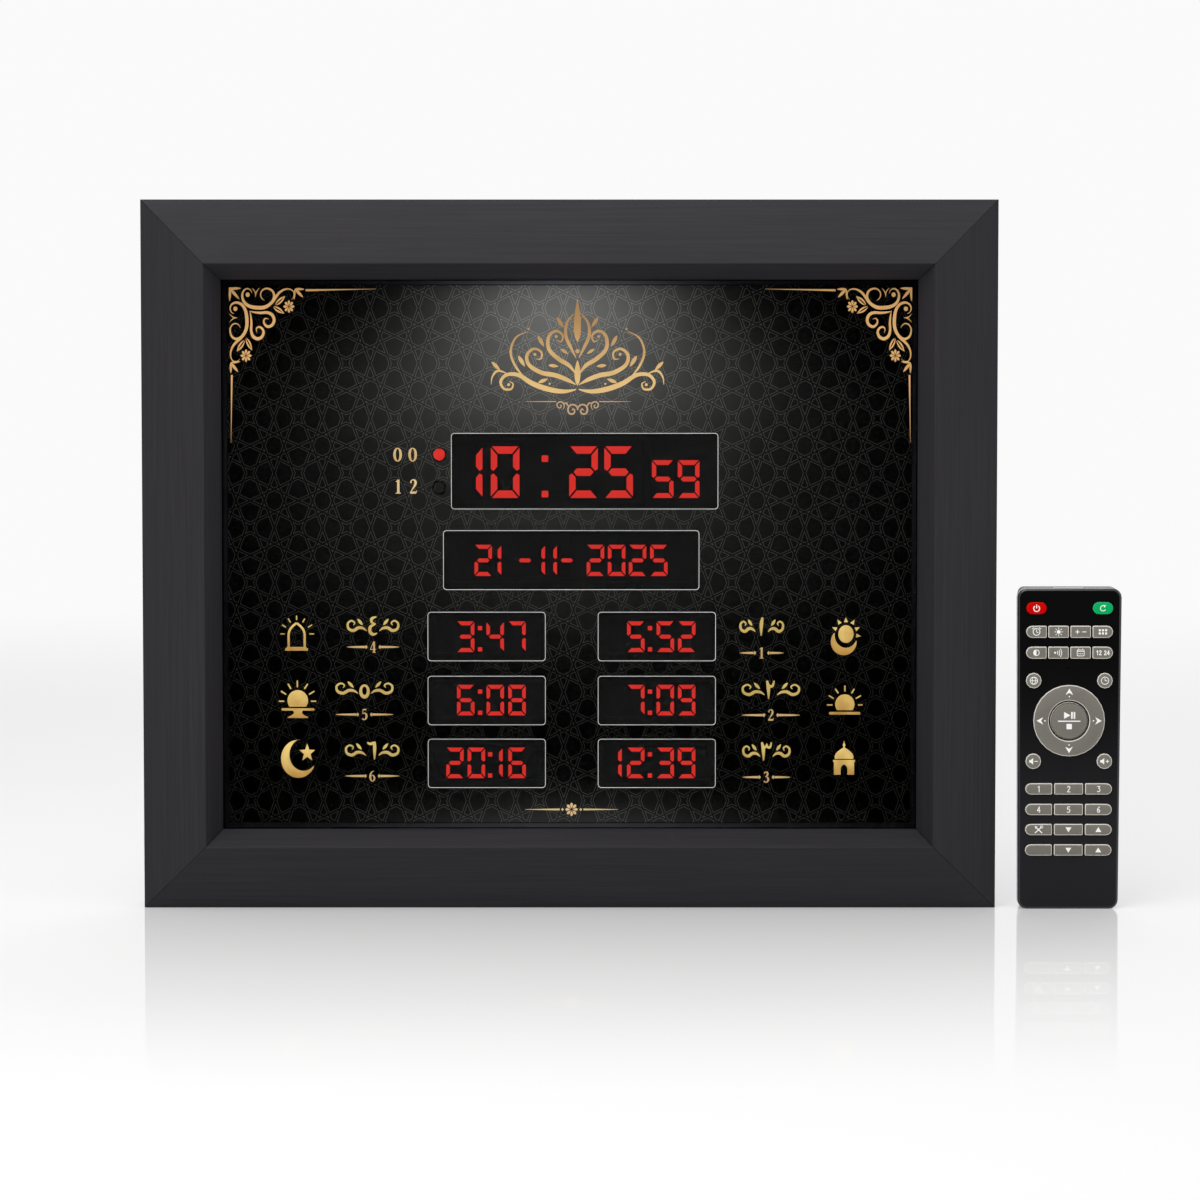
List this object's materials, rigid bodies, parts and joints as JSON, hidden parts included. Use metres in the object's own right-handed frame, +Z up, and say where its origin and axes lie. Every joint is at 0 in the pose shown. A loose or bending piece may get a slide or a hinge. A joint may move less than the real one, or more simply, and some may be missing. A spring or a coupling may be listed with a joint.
{
  "type": "azan clock with remote control",
  "caption": "Framed prayer time clock with red digit displays behind glass, keyhole hangers and a handheld remote control with sprung keys and a rocking ring.",
  "frame": {"origin": "on the underside of the frame's bottom rail, half way along it", "axes": "+X to the right seen from the front, +Y to the back, +Z up; the dial looks along -Y"},
  "size_m": [0.4926, 0.0373, 0.357],
  "materials": {
    "frame_wood": "charcoal stained, fine grain, satin",
    "front_glass": "clear, polished",
    "dial_print": "black print with a grey glow and a faint star lattice",
    "gold_print": "gold ink",
    "line_print": "thin pale grey ink",
    "display_face": "smoked",
    "digit_red": "lit red segments",
    "lamp_red": "lit red lens",
    "lamp_dark": "unlit lens",
    "circuit_board": "green solder mask",
    "cover_plastic": "fine moulded grain",
    "speaker_steel": "pressed steel",
    "jack_plastic": "moulded",
    "hanger_steel": "zinc plated",
    "screw_steel": "zinc plated",
    "remote_gloss": "gloss black",
    "remote_matt": "fine moulded grain",
    "key_grey": "warm grey silicone",
    "key_red": "red silicone",
    "key_green": "green silicone",
    "legend_white": "white ink",
    "rubber_seat": "silicone",
    "infrared_plastic": "dark, lets infrared through",
    "cell_wrap": "printed sleeve"
  },
  "bodies": {
    "clock": {"frame_top_rail": "frame_wood", "frame_bottom_rail": "frame_wood", "frame_left_rail": "frame_wood", "frame_right_rail": "frame_wood", "front_glass": "front_glass", "dial_sheet": "dial_print", "time_display": "display_face", "seconds_display": "display_face", "date_display": "display_face", "am_lamp": "lamp_red", "pm_lamp": "lamp_dark", "main_board": "circuit_board", "back_cover": "cover_plastic", "speaker": "speaker_steel", "power_jack": "jack_plastic", "hanger_left": "hanger_steel", "hanger_right": "hanger_steel", "left_display_1": "display_face", "left_display_2": "display_face", "left_display_3": "display_face", "right_display_1": "display_face", "right_display_2": "display_face", "right_display_3": "display_face"},
    "remote": {"remote_front_shell": "remote_gloss", "remote_back_shell": "remote_matt", "remote_circuit_board": "circuit_board", "remote_keypad_mat": "rubber_seat", "remote_ir_window": "infrared_plastic", "battery_cell_left": "cell_wrap", "battery_cell_right": "cell_wrap"},
    "battery_door": {"remote_battery_door": "remote_matt"},
    "nav_seat": {"nav_rocker_pad": "rubber_seat"},
    "nav_ring": {"nav_ring": "key_grey"},
    "set_key": {"set_key": "key_grey"},
    "power_key": {"power_key": "key_red"},
    "reset_key": {"reset_key": "key_green"},
    "function_key_1": {"function_key_1": "key_grey"},
    "function_key_2": {"function_key_2": "key_grey"},
    "function_key_3": {"function_key_3": "key_grey"},
    "function_key_4": {"function_key_4": "key_grey"},
    "function_key_5": {"function_key_5": "key_grey"},
    "function_key_6": {"function_key_6": "key_grey"},
    "function_key_7": {"function_key_7": "key_grey"},
    "function_key_8": {"function_key_8": "key_grey"},
    "round_key_1": {"round_key_1": "key_grey"},
    "round_key_2": {"round_key_2": "key_grey"},
    "round_key_3": {"round_key_3": "key_grey"},
    "round_key_4": {"round_key_4": "key_grey"},
    "option_key_1": {"option_key_1": "key_grey"},
    "option_key_2": {"option_key_2": "key_grey"},
    "option_key_3": {"option_key_3": "key_grey"},
    "option_key_4": {"option_key_4": "key_grey"},
    "option_key_5": {"option_key_5": "key_grey"},
    "option_key_6": {"option_key_6": "key_grey"},
    "option_key_7": {"option_key_7": "key_grey"},
    "option_key_8": {"option_key_8": "key_grey"},
    "option_key_9": {"option_key_9": "key_grey"},
    "option_key_10": {"option_key_10": "key_grey"},
    "option_key_11": {"option_key_11": "key_grey"},
    "option_key_12": {"option_key_12": "key_grey"}
  },
  "joints": [
    {"name": "remote_lift", "type": "slide", "parent": "clock", "child": "remote", "axis": [0, 0, 1], "range_m": [0, 0.15]},
    {"name": "battery_door_pull", "type": "slide", "parent": "remote", "child": "battery_door", "axis": [0, 1, 0], "range_m": [0, 0.03]},
    {"name": "nav_tilt_sideways", "type": "hinge", "parent": "remote", "child": "nav_seat", "pos_m": [0.2514, -0.0095, 0.09542], "axis": [0, 0, 1], "range_deg": [-2.5, 2.5], "stiffness_Nm_per_rad": 0.3},
    {"name": "nav_tilt_up_down", "type": "hinge", "parent": "nav_seat", "child": "nav_ring", "pos_m": [0.2514, -0.0095, 0.09542], "axis": [1, 0, 0], "range_deg": [-2.5, 2.5], "stiffness_Nm_per_rad": 0.3},
    {"name": "power_key_press", "type": "slide", "parent": "remote", "child": "power_key", "axis": [0, 1, 0], "range_m": [0, 0.0008], "stiffness_N_per_m": 400},
    {"name": "reset_key_press", "type": "slide", "parent": "remote", "child": "reset_key", "axis": [0, 1, 0], "range_m": [0, 0.0008], "stiffness_N_per_m": 400},
    {"name": "function_key_1_press", "type": "slide", "parent": "remote", "child": "function_key_1", "axis": [0, 1, 0], "range_m": [0, 0.0008], "stiffness_N_per_m": 400},
    {"name": "function_key_2_press", "type": "slide", "parent": "remote", "child": "function_key_2", "axis": [0, 1, 0], "range_m": [0, 0.0008], "stiffness_N_per_m": 400},
    {"name": "function_key_3_press", "type": "slide", "parent": "remote", "child": "function_key_3", "axis": [0, 1, 0], "range_m": [0, 0.0008], "stiffness_N_per_m": 400},
    {"name": "function_key_4_press", "type": "slide", "parent": "remote", "child": "function_key_4", "axis": [0, 1, 0], "range_m": [0, 0.0008], "stiffness_N_per_m": 400},
    {"name": "function_key_5_press", "type": "slide", "parent": "remote", "child": "function_key_5", "axis": [0, 1, 0], "range_m": [0, 0.0008], "stiffness_N_per_m": 400},
    {"name": "function_key_6_press", "type": "slide", "parent": "remote", "child": "function_key_6", "axis": [0, 1, 0], "range_m": [0, 0.0008], "stiffness_N_per_m": 400},
    {"name": "function_key_7_press", "type": "slide", "parent": "remote", "child": "function_key_7", "axis": [0, 1, 0], "range_m": [0, 0.0008], "stiffness_N_per_m": 400},
    {"name": "function_key_8_press", "type": "slide", "parent": "remote", "child": "function_key_8", "axis": [0, 1, 0], "range_m": [0, 0.0008], "stiffness_N_per_m": 400},
    {"name": "round_key_1_press", "type": "slide", "parent": "remote", "child": "round_key_1", "axis": [0, 1, 0], "range_m": [0, 0.0008], "stiffness_N_per_m": 400},
    {"name": "round_key_2_press", "type": "slide", "parent": "remote", "child": "round_key_2", "axis": [0, 1, 0], "range_m": [0, 0.0008], "stiffness_N_per_m": 400},
    {"name": "round_key_3_press", "type": "slide", "parent": "remote", "child": "round_key_3", "axis": [0, 1, 0], "range_m": [0, 0.0008], "stiffness_N_per_m": 400},
    {"name": "round_key_4_press", "type": "slide", "parent": "remote", "child": "round_key_4", "axis": [0, 1, 0], "range_m": [0, 0.0008], "stiffness_N_per_m": 400},
    {"name": "option_key_1_press", "type": "slide", "parent": "remote", "child": "option_key_1", "axis": [0, 1, 0], "range_m": [0, 0.0008], "stiffness_N_per_m": 400},
    {"name": "option_key_2_press", "type": "slide", "parent": "remote", "child": "option_key_2", "axis": [0, 1, 0], "range_m": [0, 0.0008], "stiffness_N_per_m": 400},
    {"name": "option_key_3_press", "type": "slide", "parent": "remote", "child": "option_key_3", "axis": [0, 1, 0], "range_m": [0, 0.0008], "stiffness_N_per_m": 400},
    {"name": "option_key_4_press", "type": "slide", "parent": "remote", "child": "option_key_4", "axis": [0, 1, 0], "range_m": [0, 0.0008], "stiffness_N_per_m": 400},
    {"name": "option_key_5_press", "type": "slide", "parent": "remote", "child": "option_key_5", "axis": [0, 1, 0], "range_m": [0, 0.0008], "stiffness_N_per_m": 400},
    {"name": "option_key_6_press", "type": "slide", "parent": "remote", "child": "option_key_6", "axis": [0, 1, 0], "range_m": [0, 0.0008], "stiffness_N_per_m": 400},
    {"name": "option_key_7_press", "type": "slide", "parent": "remote", "child": "option_key_7", "axis": [0, 1, 0], "range_m": [0, 0.0008], "stiffness_N_per_m": 400},
    {"name": "option_key_8_press", "type": "slide", "parent": "remote", "child": "option_key_8", "axis": [0, 1, 0], "range_m": [0, 0.0008], "stiffness_N_per_m": 400},
    {"name": "option_key_9_press", "type": "slide", "parent": "remote", "child": "option_key_9", "axis": [0, 1, 0], "range_m": [0, 0.0008], "stiffness_N_per_m": 400},
    {"name": "option_key_10_press", "type": "slide", "parent": "remote", "child": "option_key_10", "axis": [0, 1, 0], "range_m": [0, 0.0008], "stiffness_N_per_m": 400},
    {"name": "option_key_11_press", "type": "slide", "parent": "remote", "child": "option_key_11", "axis": [0, 1, 0], "range_m": [0, 0.0008], "stiffness_N_per_m": 400},
    {"name": "option_key_12_press", "type": "slide", "parent": "remote", "child": "option_key_12", "axis": [0, 1, 0], "range_m": [0, 0.0008], "stiffness_N_per_m": 400},
    {"name": "set_key_press", "type": "slide", "parent": "remote", "child": "set_key", "axis": [0, 1, 0], "range_m": [0, 0.0008], "stiffness_N_per_m": 400}
  ]
}
